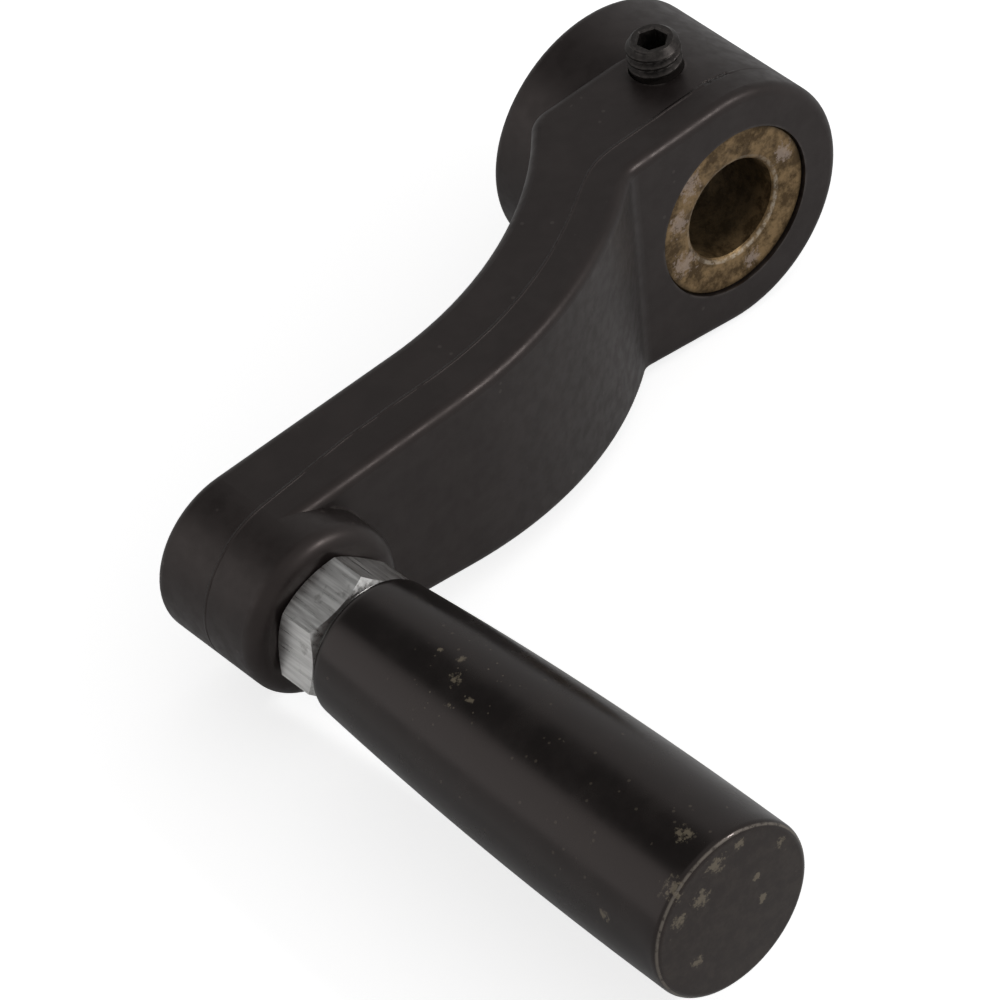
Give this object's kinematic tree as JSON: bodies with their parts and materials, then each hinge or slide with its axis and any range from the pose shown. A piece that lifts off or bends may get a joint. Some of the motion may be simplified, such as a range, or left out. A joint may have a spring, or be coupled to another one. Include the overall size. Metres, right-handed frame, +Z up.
{
  "type": "crank handle",
  "caption": "Hand crank with an S-offset cast arm, a bushed round hub clamped by a set screw, and a free-turning tapered grip.",
  "frame": {"origin": "centre of the hub bore, halfway along the hub", "axes": "+Y along the bore away from the grip, -X from the hub towards the grip, +Z up on the set screw's side"},
  "size_m": [0.1027, 0.1072, 0.0364],
  "materials": {
    "black_casting": "satin black, cast skin",
    "bronze": "tarnished, machined",
    "black_steel": "black oxide",
    "bright_steel": "bright, milled flats",
    "spring_steel": "dark spring steel",
    "black_plastic": "polished black moulding"
  },
  "bodies": {
    "crank": {"crank_arm": "black_casting", "hub_bushing": "bronze", "set_screw": "black_steel", "grip_spindle": "bright_steel", "retaining_ring": "spring_steel"},
    "grip": {"grip": "black_plastic"}
  },
  "joints": [
    {"name": "grip_turn", "type": "hinge", "parent": "crank", "child": "grip", "pos_m": [-0.0762, -0.06, 0], "axis": [0, 1, 0], "continuous": true}
  ]
}
